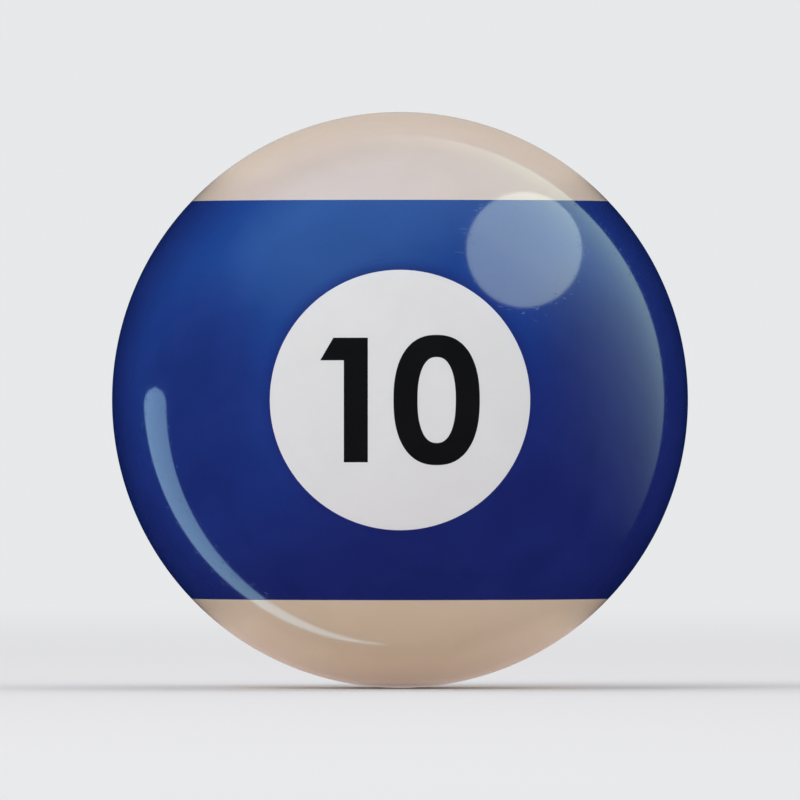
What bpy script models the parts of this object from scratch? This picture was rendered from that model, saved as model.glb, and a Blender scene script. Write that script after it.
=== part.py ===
"""A striped, numbered pool ball, built as it is cast: resin pieces that nest inside one another.

Frame: metres, +Z up, with the origin at the ball's centre. The front number faces -Y and reads
upright. The back number faces +Y upside down, so that a half turn about X swaps the two.
"""

import math

import bmesh
import bpy
from mathutils import Vector

# The ball and what shows on it
BALL_RADIUS = 0.05715 / 2
STRIPE_HALF_WIDTH = 0.69 * BALL_RADIUS
DISC_RADIUS = 0.448 * BALL_RADIUS

# The digits' flat outlines: x to the right and y up, from the disc's middle
DIGIT_TOP = 0.00612
STROKE = 0.00236
ONE_RIGHT = -0.00316
ONE_FLAG_REACH = 0.00232
ONE_FLAG_SLANT = 0.00129
ONE_FLAG_HEIGHT = 0.00222
ZERO_CENTRE = 0.00360
ZERO_HALF_WIDTH = 0.00424
ZERO_OVERSHOOT = 0.00028
ZERO_END_STROKE = 0.00218
ZERO_SQUARENESS = 2.35

# What lies under the surface
WAIST_RADIUS = 0.0175
GROOVE_FILLET = 0.0015
DISC_FLOOR = 0.0215
DISC_CHAMFER = 0.0006
DIGIT_FLOOR = 0.0258

# Cast joints have no gap, and touching solids need one
JOINT_GAP = 0.0003

# How finely round shapes are cut into facets
BALL_STEPS = 72
BALL_ARC_STEP = math.radians(5)
DISC_STEPS = 56
DISC_ARC_RINGS = 7
FILLET_POINTS = 4
ZERO_POINTS = 40
SMOOTH_ANGLE = math.radians(25)

# Each pair of numbers: its name, and the turn about X that carries local +Z outwards from the ball
SIDES = {"front": math.radians(90), "back": math.radians(-90)}

# Colour, roughness and metallic value of each resin
RESINS = {
    "cream_resin": ((0.68, 0.59, 0.52), 0.08, 0.0),
    "blue_resin": ((0.015, 0.055, 0.27), 0.07, 0.0),
    "white_resin": ((0.74, 0.74, 0.74), 0.08, 0.0),
    "black_resin": ((0.008, 0.008, 0.009), 0.10, 0.0),
}


def clear_scene():
    for obj in list(bpy.data.objects):
        bpy.data.objects.remove(obj)


def new_collection(name):
    collection = bpy.data.collections.new(name)
    bpy.context.scene.collection.children.link(collection)
    return collection


def resin_material(name):
    colour, roughness, metallic = RESINS[name]
    material = bpy.data.materials.new(name)
    material.use_nodes = True
    shader = material.node_tree.nodes["Principled BSDF"]
    shader.inputs["Base Color"].default_value = (*colour, 1.0)
    shader.inputs["Roughness"].default_value = roughness
    shader.inputs["Metallic"].default_value = metallic
    material.diffuse_color = (*colour, 1.0)
    return material


def new_object(name, data, collection, parent=None, turn=0.0):
    """An object at the ball's centre, turned about X."""
    obj = bpy.data.objects.new(name, data)
    collection.objects.link(obj)
    obj.parent = parent
    obj.rotation_euler = (turn, 0.0, 0.0)
    return obj


# ---- Outlines ----


def sphere_radius_at(height):
    """How far the ball's surface is from the axis at this height."""
    return math.sqrt(BALL_RADIUS**2 - height**2)


def arc(centre, radius, start, end, steps):
    """Points (r, z) along an arc, both ends included. Angles are from the +r direction."""
    angles = [start + (end - start) * i / steps for i in range(steps + 1)]
    return [(centre[0] + radius * math.cos(a), centre[1] + radius * math.sin(a)) for a in angles]


def ball_arc(top_height, bottom_height):
    """The ball's own outline between two heights, from the top down, in an even number of steps."""
    start = math.asin(top_height / BALL_RADIUS)
    end = math.asin(bottom_height / BALL_RADIUS)
    steps = 2 * round((start - end) / BALL_ARC_STEP / 2)
    return arc((0.0, 0.0), BALL_RADIUS, start, end, steps)


def fillet(side, start, end, inset=0.0):
    """The groove's root on the upper side (1) or the lower side (-1)."""
    centre = (WAIST_RADIUS + GROOVE_FILLET, side * (STRIPE_HALF_WIDTH - GROOVE_FILLET))
    return arc(centre, GROOVE_FILLET - inset, math.radians(start), math.radians(end), FILLET_POINTS)


def core_outline():
    """Both poles and the waist between them, in one casting with a groove for the stripe."""
    edge = (sphere_radius_at(STRIPE_HALF_WIDTH), STRIPE_HALF_WIDTH)
    upper = ball_arc(BALL_RADIUS, STRIPE_HALF_WIDTH)[1:-1] + [edge] + fillet(1, 90, 180)
    lower = [(r, -z) for r, z in reversed(upper)]
    return [(0.0, BALL_RADIUS)] + upper + lower + [(0.0, -BALL_RADIUS)]


def stripe_outline():
    """The ring that fills the core's groove, as a closed loop."""
    half_width = STRIPE_HALF_WIDTH - JOINT_GAP
    return (
        ball_arc(half_width, -half_width)
        + fillet(-1, 270, 180, inset=JOINT_GAP)
        + fillet(1, 180, 90, inset=JOINT_GAP)
    )


def disc_outline(radius, floor):
    """A number disc about its own axis: a domed face, a straight side and a chamfered floor."""
    rim = math.acos(radius / BALL_RADIUS)
    dome = arc((0.0, 0.0), BALL_RADIUS, math.radians(90), rim, DISC_ARC_RINGS)[1:]
    side = [(radius, floor + DISC_CHAMFER), (radius - DISC_CHAMFER, floor)]
    return [(0.0, BALL_RADIUS)] + dome + side + [(0.0, floor)]


def socket_outline():
    """The hole in the stripe that a number disc sits in, open past the ball's surface."""
    mouth = BALL_RADIUS + DISC_CHAMFER
    side = [(DISC_RADIUS, DISC_FLOOR + DISC_CHAMFER), (DISC_RADIUS - DISC_CHAMFER, DISC_FLOOR)]
    return [(0.0, mouth), (DISC_RADIUS, mouth)] + side + [(0.0, DISC_FLOOR)]


def one_outline():
    """The digit 1: an upright stem with a slanted flag at its upper left."""
    left = ONE_RIGHT - STROKE
    return [
        (ONE_RIGHT, -DIGIT_TOP),
        (ONE_RIGHT, DIGIT_TOP),
        (left - ONE_FLAG_REACH + ONE_FLAG_SLANT, DIGIT_TOP),
        (left - ONE_FLAG_REACH, DIGIT_TOP - ONE_FLAG_HEIGHT),
        (left, DIGIT_TOP - ONE_FLAG_HEIGHT),
        (left, -DIGIT_TOP),
    ]


def oval(half_width, half_height):
    """A superellipse about the digit 0's centre."""
    points = []
    for i in range(ZERO_POINTS):
        angle = 2 * math.pi * i / ZERO_POINTS
        c, s = math.cos(angle), math.sin(angle)
        x = math.copysign(abs(c) ** (2 / ZERO_SQUARENESS), c) * half_width
        y = math.copysign(abs(s) ** (2 / ZERO_SQUARENESS), s) * half_height
        points.append((ZERO_CENTRE + x, y))
    return points


def zero_outlines():
    """The digit 0: its outer oval, and the inner one that leaves its stroke, thinner at the ends."""
    half_height = DIGIT_TOP + ZERO_OVERSHOOT
    outer = oval(ZERO_HALF_WIDTH, half_height)
    inner = oval(ZERO_HALF_WIDTH - STROKE, half_height - ZERO_END_STROKE)
    return outer, inner


def side_normal(start, end):
    """The outward normal of one side of a counter-clockwise outline."""
    return (Vector(end) - Vector(start)).orthogonal().normalized() * -1


def grown(outline, distance):
    """A counter-clockwise outline with each side moved out by a distance, and its corners kept sharp."""
    moved = []
    for i, point in enumerate(outline):
        before, after = outline[i - 1], outline[(i + 1) % len(outline)]
        first, second = side_normal(before, point), side_normal(point, after)
        corner = Vector(point) + (first + second) * distance / (1 + first.dot(second))
        moved.append(tuple(corner))
    return moved


# ---- Solids ----


def turned(name, outline, steps, collection, closed=False, parent=None, turn=0.0):
    """An outline of (r, z) points, its outer side running down, turned about the local Z axis."""
    mesh = bpy.data.meshes.new(name)
    edges = [(i, i + 1) for i in range(len(outline) - 1)]
    if closed:
        edges.append((len(outline) - 1, 0))
    mesh.from_pydata([(r, 0.0, z) for r, z in outline], edges, [])
    obj = new_object(name, mesh, collection, parent, turn)
    screw = obj.modifiers.new("turn", "SCREW")
    screw.axis = "Z"
    screw.steps = steps
    screw.render_steps = steps
    screw.use_merge_vertices = True
    screw.merge_threshold = 1e-6
    screw.use_smooth_shade = True
    return obj


def prism(name, outlines, bottom, top, collection, parent=None, turn=0.0):
    """A flat outline, with any holes in it, made solid between two heights on the local Z axis."""
    curve = bpy.data.curves.new(name, "CURVE")
    curve.dimensions = "2D"
    curve.fill_mode = "BOTH"
    curve.extrude = (top - bottom) / 2
    for outline in outlines:
        spline = curve.splines.new("POLY")
        spline.points.add(len(outline) - 1)
        for point, (x, y) in zip(spline.points, outline):
            point.co = (x, y, 0.0, 1.0)
        spline.use_cyclic_u = True
    flat = new_object(name + "_outline", curve, collection)
    flat.location.z = (top + bottom) / 2
    bpy.context.view_layer.update()
    evaluated = flat.evaluated_get(bpy.context.evaluated_depsgraph_get())
    mesh = bpy.data.meshes.new_from_object(evaluated)
    mesh.transform(flat.matrix_world)
    bpy.data.objects.remove(flat)
    weld(mesh)
    return new_object(name, mesh, collection, parent, turn)


def weld(mesh):
    """Joins the caps of a curve's mesh to its sides, and turns every face outwards."""
    work = bmesh.new()
    work.from_mesh(mesh)
    bmesh.ops.remove_doubles(work, verts=work.verts, dist=1e-6)
    bmesh.ops.recalc_face_normals(work, faces=work.faces)
    work.to_mesh(mesh)
    work.free()


def combine(obj, operation, other):
    """Cuts obj by other, or keeps only what the two share."""
    boolean = obj.modifiers.new(operation.lower() + "_" + other.name, "BOOLEAN")
    boolean.operation = operation
    boolean.object = other


def hide_helper(obj):
    obj.hide_render = True
    obj.display_type = "WIRE"


def apply_modifiers(obj):
    """Replaces the object's mesh by what its modifiers make, smooth on the round faces."""
    evaluated = obj.evaluated_get(bpy.context.evaluated_depsgraph_get())
    mesh = bpy.data.meshes.new_from_object(evaluated)
    obj.modifiers.clear()
    obj.data = mesh
    mesh.name = obj.name
    mesh.shade_smooth()
    mesh.set_sharp_from_angle(angle=SMOOTH_ANGLE)


# ---- The ball's pieces ----


def build_number(side, turn, ball, parts, cutters):
    """One number disc with its two digits. Returns the pieces by resin, and the socket's cutter."""
    disc = turned(
        f"{side}_number_disc",
        disc_outline(DISC_RADIUS - JOINT_GAP, DISC_FLOOR + JOINT_GAP),
        DISC_STEPS, parts, parent=ball, turn=turn,
    )
    blank = turned(
        f"{side}_digit_blank", disc_outline(DISC_RADIUS, DISC_FLOOR),
        DISC_STEPS, cutters, parent=ball, turn=turn,
    )
    socket = turned(
        f"{side}_socket_cutter", socket_outline(),
        DISC_STEPS, cutters, parent=ball, turn=turn,
    )
    top = BALL_RADIUS + DISC_CHAMFER
    digits = []
    outer, inner = zero_outlines()
    for digit, outlines in (("one", [one_outline()]), ("zero", [outer, inner])):
        growth = [JOINT_GAP, -JOINT_GAP][: len(outlines)]
        pocket_outlines = [grown(outline, distance) for outline, distance in zip(outlines, growth)]
        pocket = prism(
            f"{side}_pocket_{digit}_cutter", pocket_outlines, DIGIT_FLOOR - JOINT_GAP, top,
            cutters, parent=ball, turn=turn,
        )
        combine(disc, "DIFFERENCE", pocket)
        piece = prism(
            f"{side}_digit_{digit}", outlines, DIGIT_FLOOR, top, parts, parent=ball, turn=turn,
        )
        combine(piece, "INTERSECT", blank)
        digits.append(piece)
        hide_helper(pocket)
    hide_helper(blank)
    hide_helper(socket)
    return disc, digits, socket


def build_ball():
    parts = new_collection("numbered_pool_ball")
    cutters = new_collection("cutters")
    materials = {name: resin_material(name) for name in RESINS}
    ball = new_object("ball_centre", None, parts)

    core = turned("cream_core", core_outline(), BALL_STEPS, parts, parent=ball)
    stripe = turned("blue_stripe_ring", stripe_outline(), BALL_STEPS, parts, closed=True, parent=ball)
    pieces = {core: "cream_resin", stripe: "blue_resin"}
    for side, turn in SIDES.items():
        disc, digits, socket = build_number(side, turn, ball, parts, cutters)
        combine(stripe, "DIFFERENCE", socket)
        pieces[disc] = "white_resin"
        pieces.update({digit: "black_resin" for digit in digits})

    bpy.context.view_layer.update()
    for piece, resin in pieces.items():
        apply_modifiers(piece)
        piece.data.materials.clear()
        piece.data.materials.append(materials[resin])


clear_scene()
build_ball()
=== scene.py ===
"""Looks for the numbered pool ball: fine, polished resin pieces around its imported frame.

Frame: metres, +Z up, origin at the ball's centre, front number towards -Y. The fine pieces meet
flush, as ground resin does, where the frame's solids keep a small gap.
"""

import math

import bmesh
import bpy
import numpy as np
from mathutils import Matrix, Vector
from mathutils.geometry import delaunay_2d_cdt


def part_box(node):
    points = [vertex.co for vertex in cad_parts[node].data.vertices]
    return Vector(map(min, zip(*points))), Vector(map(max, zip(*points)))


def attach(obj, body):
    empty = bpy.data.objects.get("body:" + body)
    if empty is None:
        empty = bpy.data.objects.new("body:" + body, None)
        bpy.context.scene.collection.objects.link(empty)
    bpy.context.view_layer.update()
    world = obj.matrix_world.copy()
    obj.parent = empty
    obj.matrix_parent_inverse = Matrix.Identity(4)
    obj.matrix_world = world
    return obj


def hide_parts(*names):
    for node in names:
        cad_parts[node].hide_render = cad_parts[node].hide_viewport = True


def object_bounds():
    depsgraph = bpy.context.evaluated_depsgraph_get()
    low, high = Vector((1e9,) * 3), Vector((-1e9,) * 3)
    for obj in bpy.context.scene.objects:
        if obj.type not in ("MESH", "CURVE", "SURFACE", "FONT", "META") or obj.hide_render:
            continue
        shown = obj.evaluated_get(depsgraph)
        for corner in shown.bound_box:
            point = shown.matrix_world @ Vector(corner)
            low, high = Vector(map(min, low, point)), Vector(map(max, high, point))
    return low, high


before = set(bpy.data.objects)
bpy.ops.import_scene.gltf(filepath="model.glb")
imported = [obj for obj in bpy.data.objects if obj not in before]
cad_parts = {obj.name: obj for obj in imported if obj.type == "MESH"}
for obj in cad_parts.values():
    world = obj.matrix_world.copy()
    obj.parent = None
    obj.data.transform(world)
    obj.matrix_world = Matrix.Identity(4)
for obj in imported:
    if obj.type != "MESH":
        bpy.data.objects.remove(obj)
cad_low, cad_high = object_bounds()

BODY = "root"
MM = 0.001

# ---- Sizes read from the frame ----

JOINT_GAP = 0.3 * MM
BALL_RADIUS = (cad_high.z - cad_low.z) / 2
STRIPE_HALF_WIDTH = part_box("blue_stripe_ring")[1].z + JOINT_GAP
DISC_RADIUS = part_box("front_number_disc")[1].x + JOINT_GAP
DISC_FLOOR = -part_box("front_number_disc")[1].y - JOINT_GAP
DIGIT_FLOOR = -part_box("front_digit_one")[1].y
ONE_LOW, ONE_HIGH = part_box("front_digit_one")
ZERO_LOW, ZERO_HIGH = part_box("front_digit_zero")

# ---- Sizes of details ----

STROKE = 2.36 * MM
ONE_FLAG_SLANT = 1.29 * MM
ONE_FLAG_HEIGHT = 2.22 * MM
ZERO_END_STROKE = 2.18 * MM
ZERO_SQUARENESS = 2.35
WAIST_RADIUS = 17.5 * MM
GROOVE_FILLET = 1.5 * MM
DISC_CHAMFER = 0.6 * MM

# The polished edge where two resins meet is eased by a few microns
EASE_WIDTH = 0.03 * MM
EASE_DEPTH = 0.006 * MM

# ---- How fine the meshes are ----

BALL_STEPS = 288
ARC_STEP = 2 * math.pi / BALL_STEPS
DISC_STEPS = 180
FILLET_POINTS = 6
ZERO_POINTS = 120
OUTLINE_STEP = 0.3 * MM
DISC_SPACING = 0.4 * MM
DIGIT_SPACING = 0.3 * MM
SEED_CLEARANCE = 0.6  # of the spacing, from a grid point to the nearest outline point
FILL_TOLERANCE = 1e-9
WELD_DISTANCE = 0.001 * MM
SHARP_ANGLE = math.radians(30)

# Each number faces one way: the turn about X that carries local +Z outwards from the ball
SIDES = {"front": math.radians(90), "back": math.radians(-90)}

# ---- The resins' looks ----

# Pigment colours of the darker and the lighter clouds, roughness, and how much light scatters
RESIN_LOOKS = {
    "cream_resin": ((0.650, 0.522, 0.390), (0.690, 0.562, 0.430), 0.075, 0.15),
    "blue_resin": ((0.0100, 0.017, 0.130), (0.0150, 0.025, 0.170), 0.065, 0.0),
    "white_resin": ((0.745, 0.745, 0.750), (0.785, 0.785, 0.790), 0.075, 0.15),
    "black_resin": ((0.0055, 0.0055, 0.0060), (0.0090, 0.0090, 0.0095), 0.090, 0.0),
}
RESIN_IOR = 1.53
SCATTER_RADIUS = (1.0, 0.7, 0.5)
SCATTER_SCALE = 0.8 * MM
CLOUD_SIZE = 6 * MM
GRAIN_SIZE = 0.35 * MM
GRAIN_SHARE = 0.25
PIGMENT_RANGE = (0.30, 0.95)

# Duller and brighter patches of polish: the noise values used, and their shares of the roughness
HAZE_SIZE = 14 * MM
HAZE_RANGE = (0.3, 0.7)
HAZE_SHARES = (0.8, 1.3)
WAVE_SIZE = 4 * MM
WAVE_DEPTH = 0.002 * MM
HAIRLINE_TURNS = [(0.3, 0.5, 0.1), (1.2, 0.2, 0.9), (0.7, 1.4, 2.1)]
HAIRLINE_STRETCH = (60.0, 2600.0, 2600.0)
HAIRLINE_RANGE = (0.70, 0.76)
HAIRLINE_DULLNESS = 0.10
HAIRLINE_DEPTH = 0.002 * MM
DENT_SPACING = 4 * MM
DENT_RADIUS = 0.25 * MM
DENT_DEPTH = 0.0015 * MM

# ---- The studio ----

BACKDROP = (0.80, 0.81, 0.82)
AMBIENT = (0.86, 0.86, 0.865)
FLOOR_COLOUR = (0.80, 0.80, 0.81)
FLOOR_ROUGHNESS = 0.9
FLOOR_RADIUS = 1.5
FLOOR_FADE_START = 0.25
FLOOR_FADE_END = 1.2

# The scrim's colours by the cosine between a direction and the scrim's own, before its strength
SCRIM_DIRECTION = (-0.32, -0.20, 0.926)
SCRIM_STRENGTH = 4.0
SCRIM_COLOURS = [
    (-0.60, (0.000, 0.000, 0.000)),
    (-0.10, (0.000, 0.050, 0.250)),
    (0.20, (0.002, 0.105, 0.430)),
    (0.60, (0.008, 0.155, 0.580)),
    (0.75, (0.016, 0.190, 0.620)),
    (0.96, (0.090, 0.370, 0.880)),
]

# The scrim goes round the Y axis like a tunnel: open towards the camera, and dimmer behind the
# ball and at its two sides, where it would put a bright outline on the ball seen from the side
SCRIM_FRONT = (-0.66, -0.50)
SCRIM_BACK = (0.00, 1.00)
SCRIM_LEAST = 0.05
SCRIM_SIDE = (0.72, 1.00)
SCRIM_SIDE_LEAST = 0.35

# The cards that make the highlights. Their places and radii are shares of the ball's radius, as
# the highlights are seen from in front, and their angles are about its middle, from the right
WINDOW_DISTANCE = 0.50
WINDOW_U, WINDOW_V, WINDOW_RADIUS = 0.43, 0.52, 0.20
WINDOW_FADE = 0.4
WINDOW_FADE_TOWARDS = math.radians(55)
WINDOW_LIGHT = (3.1, 3.8, 3.2)
STRIP_DISTANCE = 0.55
STRIP_RADIUS = 0.848
STRIP_START, STRIP_END = math.radians(177), math.radians(267)
STRIP_HALF_WIDTH = 0.040
STRIP_ROUND_END = 0.05
STRIP_TAPER = 0.8
STRIP_LIGHT = (1.3, 2.2, 2.7)
SIDE_DISTANCE = 0.60
SIDE_INNER, SIDE_OUTER = 0.48, 0.915
SIDE_START, SIDE_END = math.radians(-38), math.radians(110)
SIDE_FADE = 0.5
SIDE_FALLOFF = 1.4
SIDE_LIGHT = (1.20, 1.75, 1.45)

# The two that keep the cream poles pale right out to the ball's outline
RIM_DISTANCE = 0.65
RIM_INNER, RIM_OUTER = 0.86, 0.9995
RIM_FADE = 0.5
RIM_END_FADE = 0.12
RIM_LIGHTS = {"upper": (0.56, 0.49, 0.42), "lower": (0.60, 0.47, 0.40)}

KEY_PLACE = (-0.7, -0.9, 1.0)
KEY_SIZE = 0.9
KEY_POWER = 4.0

# The warm light that comes back up from the floor round the ball's foot
BOUNCE_LIFT = 0.5 * MM
BOUNCE_SIZE = 0.14
BOUNCE_POWER = 0.009
BOUNCE_COLOUR = (1.0, 0.80, 0.78)

CAMERA_DISTANCE = 2.8
BALL_SHARE_OF_FRAME = 0.72


# ---- Outlines ----


def height_on_ball(distance, depth=0.0):
    """How far a point of the ball's surface is along an axis that it is this far from."""
    return math.sqrt((BALL_RADIUS - depth) ** 2 - distance**2)


def arc(centre, radius, start, end, steps):
    """Points (r, z) along an arc, both ends included. Angles are from the +r direction."""
    angles = [start + (end - start) * i / steps for i in range(steps + 1)]
    return [(centre[0] + radius * math.cos(a), centre[1] + radius * math.sin(a)) for a in angles]


def groove_root(side):
    """The rounded root of the core's groove, on the upper side (1) or the lower side (-1)."""
    centre = (WAIST_RADIUS + GROOVE_FILLET, side * (STRIPE_HALF_WIDTH - GROOVE_FILLET))
    start, end = (90, 180) if side > 0 else (180, 270)
    return arc(centre, GROOVE_FILLET, math.radians(start), math.radians(end), FILLET_POINTS)


def groove_outline():
    """The groove from its upper edge to its lower one, where the core and the stripe meet."""
    edge = height_on_ball(STRIPE_HALF_WIDTH, EASE_DEPTH)
    upper, lower = (edge, STRIPE_HALF_WIDTH), (edge, -STRIPE_HALF_WIDTH)
    return [upper] + groove_root(1) + groove_root(-1) + [lower]


def core_outline():
    """Both poles and the waist between them, from the top down."""
    edge_angle = math.asin((STRIPE_HALF_WIDTH + EASE_WIDTH) / BALL_RADIUS)
    steps = round((math.pi / 2 - edge_angle) / ARC_STEP)
    pole = arc((0.0, 0.0), BALL_RADIUS, math.pi / 2, edge_angle, steps)
    return pole + groove_outline() + [(r, -z) for r, z in reversed(pole)]


def plug_outline():
    """A number disc's side and floor, where it meets its socket in the stripe."""
    return [
        (DISC_RADIUS, height_on_ball(DISC_RADIUS, EASE_DEPTH)),
        (DISC_RADIUS, DISC_FLOOR + DISC_CHAMFER),
        (DISC_RADIUS - DISC_CHAMFER, DISC_FLOOR),
        (0.0, DISC_FLOOR),
    ]


def circle(radius):
    angles = [2 * math.pi * i / DISC_STEPS for i in range(DISC_STEPS)]
    return [(radius * math.cos(a), radius * math.sin(a)) for a in angles]


def with_points_between(corners):
    """The same closed outline, with its long sides divided evenly."""
    outline = []
    for start, end in zip(corners, corners[1:] + corners[:1]):
        start, end = Vector(start), Vector(end)
        parts = max(1, round((end - start).length / OUTLINE_STEP))
        outline += [tuple(start.lerp(end, i / parts)) for i in range(parts)]
    return outline


def one_outline():
    """The digit 1: an upright stem with a slanted flag at its upper left."""
    right, top, bottom, tip = ONE_HIGH.x, ONE_HIGH.z, ONE_LOW.z, ONE_LOW.x
    left = right - STROKE
    return with_points_between([
        (right, bottom),
        (right, top),
        (tip + ONE_FLAG_SLANT, top),
        (tip, top - ONE_FLAG_HEIGHT),
        (left, top - ONE_FLAG_HEIGHT),
        (left, bottom),
    ])


def zero_outline(side_inset=0.0, end_inset=0.0):
    """A superellipse about the digit 0's centre: its outer edge, or its inner one a stroke in."""
    centre = (ZERO_LOW.x + ZERO_HIGH.x) / 2
    half_width = (ZERO_HIGH.x - ZERO_LOW.x) / 2 - side_inset
    half_height = (ZERO_HIGH.z - ZERO_LOW.z) / 2 - end_inset
    outline = []
    for i in range(ZERO_POINTS):
        angle = 2 * math.pi * i / ZERO_POINTS
        c, s = math.cos(angle), math.sin(angle)
        x = math.copysign(abs(c) ** (2 / ZERO_SQUARENESS), c) * half_width
        y = math.copysign(abs(s) ** (2 / ZERO_SQUARENESS), s) * half_height
        outline.append((centre + x, y))
    return outline


def side_normal(start, end):
    """The outward normal of one side of a counter-clockwise outline."""
    return (Vector(end) - Vector(start)).orthogonal().normalized() * -1


def grown(outline, distance):
    """A counter-clockwise outline with each side moved out by a distance."""
    moved = []
    for i, point in enumerate(outline):
        before, after = outline[i - 1], outline[(i + 1) % len(outline)]
        first, second = side_normal(before, point), side_normal(point, after)
        corner = Vector(point) + (first + second) * distance / (1 + first.dot(second))
        moved.append(tuple(corner))
    return moved


# ---- Surfaces ----


def on_ball(x, y, depth=0.0):
    """The point of the ball's +Z side above (x, y), or this far under its surface."""
    return Vector((x, y, height_on_ball(math.hypot(x, y), depth)))


def on_band(longitude, latitude):
    """A point of the ball's surface. Longitude 0 faces the front, and grows towards +X."""
    across = BALL_RADIUS * math.cos(latitude)
    return Vector((
        across * math.sin(longitude),
        -across * math.cos(longitude),
        BALL_RADIUS * math.sin(latitude),
    ))


def inside(outlines, points):
    """Which points an odd number of the outlines go round, so that an outline in another is a hole."""
    x, y = points[:, 0], points[:, 1]
    odd = np.zeros(len(points), bool)
    for outline in outlines:
        for (x1, y1), (x2, y2) in zip(outline, outline[1:] + outline[:1]):
            if y1 != y2:
                crossing = x1 + (y - y1) * (x2 - x1) / (y2 - y1)
                odd ^= ((y1 > y) != (y2 > y)) & (x < crossing)
    return odd


def filled(outlines, spacing):
    """Flat points and triangles that fill the outlines, with an even grid of points inside."""
    edge_points = np.array([p for outline in outlines for p in outline])
    low, high = edge_points.min(0), edge_points.max(0)
    counts = np.ceil((high - low) / spacing).astype(int)
    columns = np.linspace(low[0], high[0], counts[0] + 1)
    rows = np.linspace(low[1], high[1], counts[1] + 1)
    grid = np.array([(x, y) for y in rows for x in columns])
    grid = grid[inside(outlines, grid)]
    nearest = np.array([np.hypot(*(edge_points - p).T).min() for p in grid])
    grid = grid[nearest > SEED_CLEARANCE * spacing]

    edges, first = [], 0
    for outline in outlines:
        count = len(outline)
        edges += [(first + i, first + (i + 1) % count) for i in range(count)]
        first += count
    seeds = [Vector(p) for p in np.vstack([edge_points, grid])]
    flat, _, faces, *_ = delaunay_2d_cdt(seeds, edges, [], 0, FILL_TOLERANCE)
    flat = np.array([tuple(p) for p in flat])
    centres = np.array([flat[list(face)].mean(0) for face in faces])
    kept = [face for face, keep in zip(faces, inside(outlines, centres)) if keep]
    return flat, kept


def add_patch(work, flat, faces, place):
    """Flat triangles, carried into space by place(x, y)."""
    verts = [work.verts.new(place(x, y)) for x, y in flat]
    used = set()
    for face in faces:
        work.faces.new([verts[i] for i in face])
        used.update(face)
    for i, vert in enumerate(verts):
        if i not in used:
            work.verts.remove(vert)


def add_rings(work, rings):
    """A band of four-sided faces from each closed ring of points to the next."""
    rows = [[work.verts.new(point) for point in ring] for ring in rings]
    count = len(rings[0])
    for row, following in zip(rows, rows[1:]):
        for i in range(count):
            j = (i + 1) % count
            work.faces.new((row[i], following[i], following[j], row[j]))


def add_turned(work, outline, steps, turn=0.0):
    """An outline of (r, z) points turned about Z, then turned about X."""
    angles = [2 * math.pi * i / steps for i in range(steps)]
    rotation = Matrix.Rotation(turn, 3, "X")
    add_rings(work, [
        [rotation @ Vector((r * math.cos(a), r * math.sin(a), z)) for a in angles]
        for r, z in outline
    ])


def add_wall(work, outline, edge, floor):
    """The eased edge and the upright wall of an inlay: edge is the outline of its polished face."""
    add_rings(work, [
        [on_ball(x, y) for x, y in edge],
        [on_ball(x, y, EASE_DEPTH) for x, y in outline],
        [Vector((x, y, floor)) for x, y in outline],
    ])


def finished(work, name, node, resin, turn=0.0):
    """Welds a piece, gives its polished face the ball's own normals, and puts it in the frame."""
    bmesh.ops.remove_doubles(work, verts=work.verts, dist=WELD_DISTANCE)
    bmesh.ops.recalc_face_normals(work, faces=work.faces)
    bmesh.ops.rotate(work, verts=work.verts, matrix=Matrix.Rotation(turn, 3, "X"))
    mesh = bpy.data.meshes.new(name)
    work.to_mesh(mesh)
    work.free()
    mesh.shade_smooth()
    mesh.set_sharp_from_angle(angle=SHARP_ANGLE)
    normals = []
    for face in mesh.polygons:
        for i in face.vertices:
            point = mesh.vertices[i].co
            polished = abs(point.length - BALL_RADIUS) < WELD_DISTANCE and face.normal.dot(point) > 0
            normals.append(point.normalized() if polished else Vector())
    mesh.normals_split_custom_set(normals)
    mesh.materials.append(RESINS[resin])
    piece = bpy.data.objects.new(name, mesh)
    bpy.context.scene.collection.objects.link(piece)
    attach(piece, BODY)
    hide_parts(node)
    return piece


# ---- The resins ----


def add_node(tree, kind, values=(), **settings):
    """A shader node with its settings, and the values of its sockets by name or number."""
    node = tree.nodes.new(kind)
    for name, value in settings.items():
        setattr(node, name, value)
    for socket, value in dict(values).items():
        node.inputs[socket].default_value = value
    return node


def add_hairlines(tree, place):
    """Sparse, fine scratches in a few directions, as a mask from 0 to 1."""
    total = None
    for turn in HAIRLINE_TURNS:
        stretch = add_node(tree, "ShaderNodeMapping", {"Rotation": turn, "Scale": HAIRLINE_STRETCH})
        streaks = add_node(tree, "ShaderNodeTexNoise", {"Scale": 1.0, "Detail": 1.0})
        mask = add_node(tree, "ShaderNodeMapRange", {
            "From Min": HAIRLINE_RANGE[0], "From Max": HAIRLINE_RANGE[1],
        })
        tree.links.new(place, stretch.inputs["Vector"])
        tree.links.new(stretch.outputs["Vector"], streaks.inputs["Vector"])
        tree.links.new(streaks.outputs["Fac"], mask.inputs["Value"])
        if total is None:
            total = mask.outputs["Result"]
        else:
            join = add_node(tree, "ShaderNodeMath", operation="MAXIMUM")
            tree.links.new(total, join.inputs[0])
            tree.links.new(mask.outputs["Result"], join.inputs[1])
            total = join.outputs["Value"]
    return total


def add_bump(tree, height, depth, under=None):
    """A bump of this depth in metres, on top of another one's normal."""
    bump = add_node(tree, "ShaderNodeBump", {"Strength": 1.0, "Distance": depth})
    tree.links.new(height, bump.inputs["Height"])
    if under is not None:
        tree.links.new(under, bump.inputs["Normal"])
    return bump.outputs["Normal"]


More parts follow.
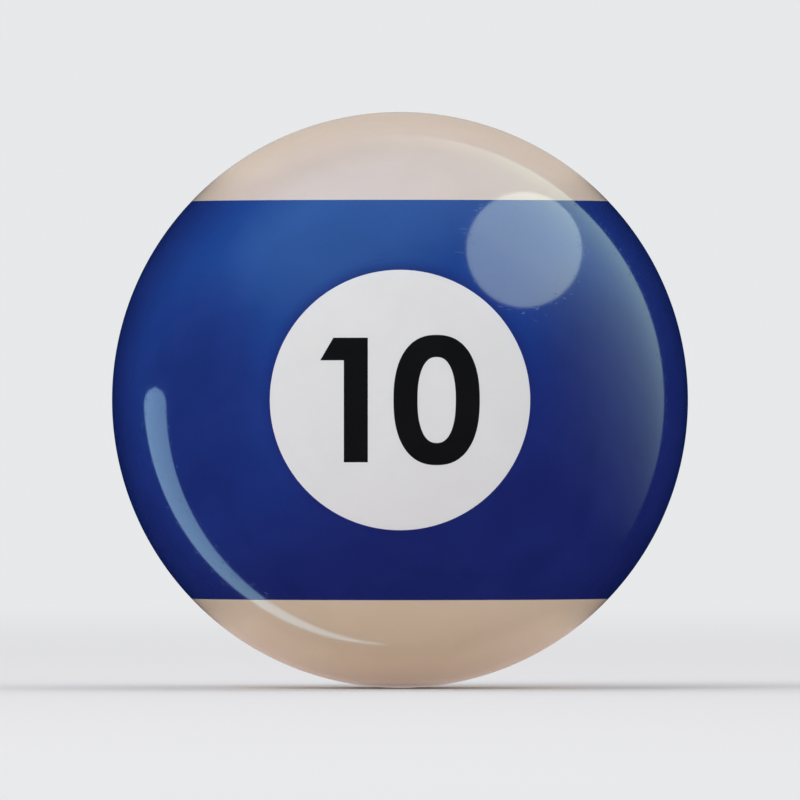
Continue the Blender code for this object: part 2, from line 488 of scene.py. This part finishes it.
def resin_material(name, deep, light, roughness, scatter):
    """Polished cast resin: clouded pigment with a fine grain, an uneven polish, and light wear."""
    material = bpy.data.materials.new(name)
    material.use_nodes = True
    tree = material.node_tree
    link = tree.links.new
    shader = tree.nodes["Principled BSDF"]
    shader.inputs["IOR"].default_value = RESIN_IOR
    shader.inputs["Subsurface Weight"].default_value = scatter
    shader.inputs["Subsurface Radius"].default_value = SCATTER_RADIUS
    shader.inputs["Subsurface Scale"].default_value = SCATTER_SCALE
    place = add_node(tree, "ShaderNodeTexCoord").outputs["Object"]

    clouds = add_node(tree, "ShaderNodeTexNoise", {
        "Scale": 1 / CLOUD_SIZE, "Detail": 4.0, "Roughness": 0.5, "Distortion": 0.6,
    })
    grain = add_node(tree, "ShaderNodeTexNoise", {"Scale": 1 / GRAIN_SIZE, "Detail": 2.0})
    pigment = add_node(tree, "ShaderNodeMath", {1: GRAIN_SHARE}, operation="MULTIPLY_ADD")
    ramp = add_node(tree, "ShaderNodeValToRGB")
    for stop, position, colour in zip(ramp.color_ramp.elements, PIGMENT_RANGE, (deep, light)):
        stop.position = position
        stop.color = (*colour, 1.0)
    link(place, clouds.inputs["Vector"])
    link(place, grain.inputs["Vector"])
    link(grain.outputs["Fac"], pigment.inputs[0])
    link(clouds.outputs["Fac"], pigment.inputs[2])
    link(pigment.outputs["Value"], ramp.inputs["Fac"])
    link(ramp.outputs["Color"], shader.inputs["Base Color"])

    # Polish: dull and bright patches, with the hairlines a little duller still
    hairlines = add_hairlines(tree, place)
    haze = add_node(tree, "ShaderNodeTexNoise", {"Scale": 1 / HAZE_SIZE, "Detail": 3.0})
    polish = add_node(tree, "ShaderNodeMapRange", {
        "From Min": HAZE_RANGE[0], "From Max": HAZE_RANGE[1],
        "To Min": roughness * HAZE_SHARES[0], "To Max": roughness * HAZE_SHARES[1],
    })
    dulled = add_node(tree, "ShaderNodeMath", {1: HAIRLINE_DULLNESS}, operation="MULTIPLY_ADD")
    link(place, haze.inputs["Vector"])
    link(haze.outputs["Fac"], polish.inputs["Value"])
    link(hairlines, dulled.inputs[0])
    link(polish.outputs["Result"], dulled.inputs[2])
    link(dulled.outputs["Value"], shader.inputs["Roughness"])

    # Relief: the slow waves that polishing leaves, then hairlines, then a few tiny dents
    waves = add_node(tree, "ShaderNodeTexNoise", {"Scale": 1 / WAVE_SIZE, "Detail": 1.0})
    dents = add_node(tree, "ShaderNodeTexVoronoi", {"Scale": 1 / DENT_SPACING})
    pits = add_node(tree, "ShaderNodeMapRange", {
        "From Min": 0.0, "From Max": DENT_RADIUS / DENT_SPACING, "To Min": 0.0, "To Max": 1.0,
    }, interpolation_type="SMOOTHSTEP")
    grooves = add_node(tree, "ShaderNodeMath", {0: 1.0}, operation="SUBTRACT")
    link(place, waves.inputs["Vector"])
    link(place, dents.inputs["Vector"])
    link(dents.outputs["Distance"], pits.inputs["Value"])
    link(hairlines, grooves.inputs[1])
    normal = add_bump(tree, waves.outputs["Fac"], WAVE_DEPTH)
    normal = add_bump(tree, grooves.outputs["Value"], HAIRLINE_DEPTH, normal)
    normal = add_bump(tree, pits.outputs["Result"], DENT_DEPTH, normal)
    link(normal, shader.inputs["Normal"])
    return material


# ---- The ball's pieces ----


def build_core():
    work = bmesh.new()
    add_turned(work, core_outline(), BALL_STEPS)
    finished(work, "core", "cream_core", "cream_resin")


def build_stripe():
    """The outer band is two half turns with a number's hole in each. The rest is turned shapes."""
    work = bmesh.new()
    edge_latitude = math.asin((STRIPE_HALF_WIDTH - EASE_WIDTH) / BALL_RADIUS)
    rows = 2 * round(edge_latitude / ARC_STEP)
    half_steps = BALL_STEPS // 2
    quarter = math.pi / 2
    longitudes = [-quarter + 2 * quarter * i / half_steps for i in range(half_steps + 1)]
    latitudes = [-edge_latitude + 2 * edge_latitude * i / rows for i in range(rows + 1)]
    border = (
        [(longitude, -edge_latitude) for longitude in longitudes[:-1]]
        + [(quarter, latitude) for latitude in latitudes[:-1]]
        + [(longitude, edge_latitude) for longitude in longitudes[:0:-1]]
        + [(-quarter, latitude) for latitude in latitudes[:0:-1]]
    )
    hole = [
        (math.atan2(x, height_on_ball(math.hypot(x, z))), math.asin(z / BALL_RADIUS))
        for x, z in circle(DISC_RADIUS + EASE_WIDTH)
    ]
    flat, faces = filled([border, hole], ARC_STEP)
    for facing in (0.0, math.pi):
        add_patch(work, flat, faces, lambda x, y: on_band(x + facing, y))

    edge_radius = height_on_ball(STRIPE_HALF_WIDTH - EASE_WIDTH)
    edge_height = STRIPE_HALF_WIDTH - EASE_WIDTH
    inner = [(edge_radius, edge_height)] + groove_outline() + [(edge_radius, -edge_height)]
    add_turned(work, inner, BALL_STEPS)
    mouth = DISC_RADIUS + EASE_WIDTH
    socket = [(mouth, height_on_ball(mouth))] + plug_outline()
    for turn in SIDES.values():
        add_turned(work, socket, DISC_STEPS, turn)
    finished(work, "stripe_ring", "blue_stripe_ring", "blue_resin")


def build_digit(side, turn, digit, outlines, edges):
    """One inlaid digit: outlines are its true edges, and edges those of its polished face."""
    work = bmesh.new()
    add_patch(work, *filled(edges, DIGIT_SPACING), on_ball)
    add_patch(work, *filled(outlines, DIGIT_SPACING), lambda x, y: Vector((x, y, DIGIT_FLOOR)))
    for outline, edge in zip(outlines, edges):
        add_wall(work, outline, edge, DIGIT_FLOOR)
    finished(work, f"{side}_{digit}", f"{side}_digit_{digit}", "black_resin", turn)


def build_number(side, turn):
    """A number disc with a pocket for each digit, and the digits in them."""
    rim = DISC_RADIUS - EASE_WIDTH
    face_edges = [circle(rim)]
    work = bmesh.new()
    digits = {"one": [one_outline()], "zero": [zero_outline(), zero_outline(STROKE, ZERO_END_STROKE)]}
    for digit, outlines in digits.items():
        # The first outline is a digit's outside, and the second is the hole in it
        signs = [1, -1][: len(outlines)]
        edges = [grown(o, -EASE_WIDTH * sign) for o, sign in zip(outlines, signs)]
        build_digit(side, turn, digit, outlines, edges)
        pocket_edges = [grown(o, EASE_WIDTH * sign) for o, sign in zip(outlines, signs)]
        for outline, edge in zip(outlines, pocket_edges):
            add_wall(work, outline, edge, DIGIT_FLOOR)
        add_patch(work, *filled(outlines, DIGIT_SPACING), lambda x, y: Vector((x, y, DIGIT_FLOOR)))
        face_edges += pocket_edges
    add_patch(work, *filled(face_edges, DISC_SPACING), on_ball)
    add_turned(work, [(rim, height_on_ball(rim))] + plug_outline(), DISC_STEPS)
    finished(work, f"{side}_disc", f"{side}_number_disc", "white_resin", turn)


# ---- The studio ----


def stage_mesh(name, points, faces, material):
    mesh = bpy.data.meshes.new(name)
    mesh.from_pydata(points, [], faces)
    mesh.materials.append(material)
    obj = bpy.data.objects.new(name, mesh)
    bpy.context.scene.collection.objects.link(obj)
    return obj


def add_fade(tree, value, start, end, first, last):
    """A smooth change from the first strength to the last, as a value goes from start to end."""
    fade = add_node(tree, "ShaderNodeMapRange", {
        "From Min": start, "From Max": end, "To Min": first, "To Max": last,
    }, interpolation_type="SMOOTHSTEP")
    tree.links.new(value, fade.inputs["Value"])
    return fade.outputs["Result"]


def add_product(tree, first, second):
    product = add_node(tree, "ShaderNodeMath", operation="MULTIPLY")
    tree.links.new(first, product.inputs[0])
    tree.links.new(second, product.inputs[1])
    return product.outputs["Value"]


def add_scrim_colour(tree, direction):
    """The scrim's colour in a direction, from the cosine between that and its own direction."""
    cosine = add_node(tree, "ShaderNodeVectorMath", {1: SCRIM_DIRECTION}, operation="DOT_PRODUCT")
    lowest = SCRIM_COLOURS[0][0]
    share = add_node(tree, "ShaderNodeMapRange", {"From Min": lowest, "From Max": 1.0})
    ramp = add_node(tree, "ShaderNodeValToRGB")
    ramp.color_ramp.elements.remove(ramp.color_ramp.elements[1])
    for i, (stop_cosine, colour) in enumerate(SCRIM_COLOURS):
        position = (stop_cosine - lowest) / (1.0 - lowest)
        stop = ramp.color_ramp.elements[0] if i == 0 else ramp.color_ramp.elements.new(position)
        stop.position = position
        stop.color = (*colour, 1.0)
    tree.links.new(direction, cosine.inputs[0])
    tree.links.new(cosine.outputs["Value"], share.inputs["Value"])
    tree.links.new(share.outputs["Result"], ramp.inputs["Fac"])
    return ramp.outputs["Color"]


def add_scrim_strength(tree, direction):
    """How strong the scrim is in a direction: a tunnel round the Y axis, dimmer at its sides."""
    along = add_node(tree, "ShaderNodeSeparateXYZ")
    sideways = add_node(tree, "ShaderNodeMath", operation="ABSOLUTE")
    tree.links.new(direction, along.inputs["Vector"])
    tree.links.new(along.outputs["X"], sideways.inputs[0])
    front = add_fade(tree, along.outputs["Y"], *SCRIM_FRONT, SCRIM_LEAST, SCRIM_STRENGTH)
    back = add_fade(tree, along.outputs["Y"], *SCRIM_BACK, 1.0, SCRIM_LEAST)
    side = add_fade(tree, sideways.outputs["Value"], *SCRIM_SIDE, 1.0, SCRIM_SIDE_LEAST)
    return add_product(tree, add_product(tree, front, back), side)


def build_world():
    """A pale backdrop, an even light on every surface, and a scrim that only reflections show."""
    world = bpy.data.worlds.new("studio")
    bpy.context.scene.world = world
    world.use_nodes = True
    tree = world.node_tree
    tree.nodes.clear()
    link = tree.links.new
    backdrop = add_node(tree, "ShaderNodeBackground", {"Color": (*BACKDROP, 1.0)})
    ambient = add_node(tree, "ShaderNodeBackground", {"Color": (*AMBIENT, 1.0)})
    scrim = add_node(tree, "ShaderNodeBackground")
    direction = add_node(tree, "ShaderNodeTexCoord").outputs["Generated"]
    link(add_scrim_colour(tree, direction), scrim.inputs["Color"])
    link(add_scrim_strength(tree, direction), scrim.inputs["Strength"])

    path = add_node(tree, "ShaderNodeLightPath")
    reflected = add_node(tree, "ShaderNodeMixShader")
    seen = add_node(tree, "ShaderNodeMixShader")
    output = add_node(tree, "ShaderNodeOutputWorld")
    link(path.outputs["Is Glossy Ray"], reflected.inputs["Fac"])
    link(ambient.outputs["Background"], reflected.inputs[1])
    link(scrim.outputs["Background"], reflected.inputs[2])
    link(path.outputs["Is Camera Ray"], seen.inputs["Fac"])
    link(reflected.outputs["Shader"], seen.inputs[1])
    link(backdrop.outputs["Background"], seen.inputs[2])
    link(seen.outputs["Shader"], output.inputs["Surface"])


def build_floor():
    """A pale floor that turns into the backdrop's colour well away from the ball."""
    material = bpy.data.materials.new("floor")
    material.use_nodes = True
    tree = material.node_tree
    shader = tree.nodes["Principled BSDF"]
    shader.inputs["Base Color"].default_value = (*FLOOR_COLOUR, 1.0)
    shader.inputs["Roughness"].default_value = FLOOR_ROUGHNESS
    shader.inputs["Specular IOR Level"].default_value = 0.0
    glow = add_node(tree, "ShaderNodeEmission", {"Color": (*BACKDROP, 1.0)})
    place = add_node(tree, "ShaderNodeTexCoord").outputs["Object"]
    length = add_node(tree, "ShaderNodeVectorMath", operation="LENGTH")
    mix = add_node(tree, "ShaderNodeMixShader")
    tree.links.new(place, length.inputs[0])
    fade = add_fade(tree, length.outputs["Value"], FLOOR_FADE_START, FLOOR_FADE_END, 0.0, 1.0)
    tree.links.new(fade, mix.inputs["Fac"])
    tree.links.new(shader.outputs["BSDF"], mix.inputs[1])
    tree.links.new(glow.outputs["Emission"], mix.inputs[2])
    tree.links.new(mix.outputs["Shader"], tree.nodes["Material Output"].inputs["Surface"])
    points = [(FLOOR_RADIUS * x, FLOOR_RADIUS * y, cad_low.z) for x, y in circle(1.0)]
    floor = stage_mesh("floor", points, [tuple(range(len(points)))], material)
    floor.visible_glossy = False


def behind_reflection(u, v, distance):
    """Where a card has to be for its light to be seen at (u, v) on the ball from in front.

    u to the right and v up are shares of the ball's radius, from its middle.
    """
    normal = Vector((u, -math.sqrt(1 - u * u - v * v), v))
    direction = Vector((0.0, 1.0, 0.0)).reflect(normal)
    return normal * BALL_RADIUS + direction * distance


def build_card(name, distance, colour, spot, glow, rows=16, columns=96):
    """A clear card that glows, seen only as a highlight on the ball.

    spot(s, t) is the highlight's place on the ball and glow(s, t) its strength, s and t from 0 to 1.
    """
    material = bpy.data.materials.new(name)
    material.use_nodes = True
    tree = material.node_tree
    tree.nodes.remove(tree.nodes["Principled BSDF"])
    strength = add_node(tree, "ShaderNodeAttribute", attribute_name="glow")
    light = add_node(tree, "ShaderNodeEmission", {"Color": (*colour, 1.0)})
    clear = add_node(tree, "ShaderNodeBsdfTransparent")
    both = add_node(tree, "ShaderNodeAddShader")
    tree.links.new(strength.outputs["Fac"], light.inputs["Strength"])
    tree.links.new(light.outputs["Emission"], both.inputs[0])
    tree.links.new(clear.outputs["BSDF"], both.inputs[1])
    tree.links.new(both.outputs["Shader"], tree.nodes["Material Output"].inputs["Surface"])

    shares = [(i / rows, j / columns) for i in range(rows + 1) for j in range(columns + 1)]
    points = [behind_reflection(*spot(s, t), distance) for s, t in shares]
    faces = []
    for i in range(rows):
        for j in range(columns):
            corner = i * (columns + 1) + j
            faces.append((corner, corner + 1, corner + columns + 2, corner + columns + 1))
    card = stage_mesh(name, points, faces, material)
    attribute = card.data.attributes.new("glow", "FLOAT", "POINT")
    attribute.data.foreach_set("value", [glow(s, t) for s, t in shares])
    card.visible_camera = False
    card.visible_diffuse = False
    card.visible_shadow = False
    return card


def smooth(share):
    """A share from 0 to 1 with its start and end eased."""
    share = min(max(share, 0.0), 1.0)
    return share * share * (3 - 2 * share)


def round_place(radius, angle, middle=(0.0, 0.0)):
    """A highlight's place on the ball, at a radius and angle from a middle."""
    return middle[0] + radius * math.cos(angle), middle[1] + radius * math.sin(angle)


def build_window_card():
    """The round highlight at the upper right."""
    def spot(s, t):
        return round_place(WINDOW_RADIUS * s, 2 * math.pi * t, (WINDOW_U, WINDOW_V))

    def glow(s, t):
        return 1 - WINDOW_FADE * max(0.0, s * math.cos(2 * math.pi * t - WINDOW_FADE_TOWARDS))

    build_card("window_card", WINDOW_DISTANCE, WINDOW_LIGHT, spot, glow)


def build_strip_card():
    """The strip along the lower left, round at its upper end and thinning to nothing below."""
    def spot(s, t):
        angle = STRIP_START + (STRIP_END - STRIP_START) * t
        round_end = math.sqrt(max(0.0, 1 - (1 - min(t / STRIP_ROUND_END, 1.0)) ** 2))
        half_width = STRIP_HALF_WIDTH * (1 - t) ** STRIP_TAPER * round_end
        radius = STRIP_RADIUS + (2 * s - 1) * half_width
        return round_place(radius, angle)

    build_card("strip_card", STRIP_DISTANCE, STRIP_LIGHT, spot, lambda s, t: 1.0)


def build_side_card():
    """The broad highlight along the right: sharp at its outer edge and fading inwards."""
    def spot(s, t):
        angle = SIDE_START + (SIDE_END - SIDE_START) * t
        radius = SIDE_INNER + (SIDE_OUTER - SIDE_INNER) * s
        return round_place(radius, angle)

    def glow(s, t):
        ends = smooth(t / SIDE_FADE) * smooth((1 - t) / SIDE_FADE)
        return s**SIDE_FALLOFF * ends

    build_card("side_card", SIDE_DISTANCE, SIDE_LIGHT, spot, glow, rows=48)


def build_rim_card(name, middle, colour):
    """A highlight along a pole's outline, about this angle and as far as the stripe each way."""
    def spot(s, t):
        radius = RIM_INNER + (RIM_OUTER - RIM_INNER) * s
        half_angle = math.acos(STRIPE_HALF_WIDTH / BALL_RADIUS / radius)
        angle = middle + half_angle * (2 * t - 1)
        return round_place(radius, angle)

    def glow(s, t):
        return smooth(s / RIM_FADE) * smooth(t / RIM_END_FADE) * smooth((1 - t) / RIM_END_FADE)

    build_card(name, RIM_DISTANCE, colour, spot, glow, rows=32)


def build_softbox(name, place, aim, size, power, colour=(1.0, 1.0, 1.0)):
    """A soft round light, with no highlight of its own."""
    light = bpy.data.lights.new(name, "AREA")
    light.shape = "DISK"
    light.size = size
    light.energy = power
    light.color = colour
    obj = bpy.data.objects.new(name, light)
    obj.location = place
    obj.rotation_euler = (Vector(aim) - Vector(place)).to_track_quat("-Z", "Y").to_euler()
    obj.visible_glossy = False
    obj.visible_camera = False
    bpy.context.scene.collection.objects.link(obj)


def build_camera():
    """A level camera in front, far enough off for the stripe's edges to look straight."""
    data = bpy.data.cameras.new("camera")
    camera = bpy.data.objects.new("camera", data)
    frame_width = 2 * BALL_RADIUS / BALL_SHARE_OF_FRAME
    data.lens = data.sensor_width * CAMERA_DISTANCE / frame_width
    data.clip_end = CAMERA_DISTANCE + FLOOR_RADIUS
    camera.location = (0.0, -CAMERA_DISTANCE, 0.0)
    camera.rotation_euler = (math.pi / 2, 0.0, 0.0)
    bpy.context.scene.collection.objects.link(camera)
    bpy.context.scene.camera = camera


RESINS = {name: resin_material(name, *values) for name, values in RESIN_LOOKS.items()}
build_core()
build_stripe()
for side, turn in SIDES.items():
    build_number(side, turn)

build_world()
build_floor()
build_window_card()
build_strip_card()
build_side_card()
build_rim_card("upper_rim_card", math.radians(90), RIM_LIGHTS["upper"])
build_rim_card("lower_rim_card", math.radians(-90), RIM_LIGHTS["lower"])
build_softbox("key", KEY_PLACE, (0.0, 0.0, 0.0), KEY_SIZE, KEY_POWER)
bounce_place = (0.0, 0.0, cad_low.z + BOUNCE_LIFT)
build_softbox("bounce", bounce_place, (0.0, 0.0, 1.0), BOUNCE_SIZE, BOUNCE_POWER, BOUNCE_COLOUR)
build_camera()
bpy.context.scene.view_settings.view_transform = "Standard"
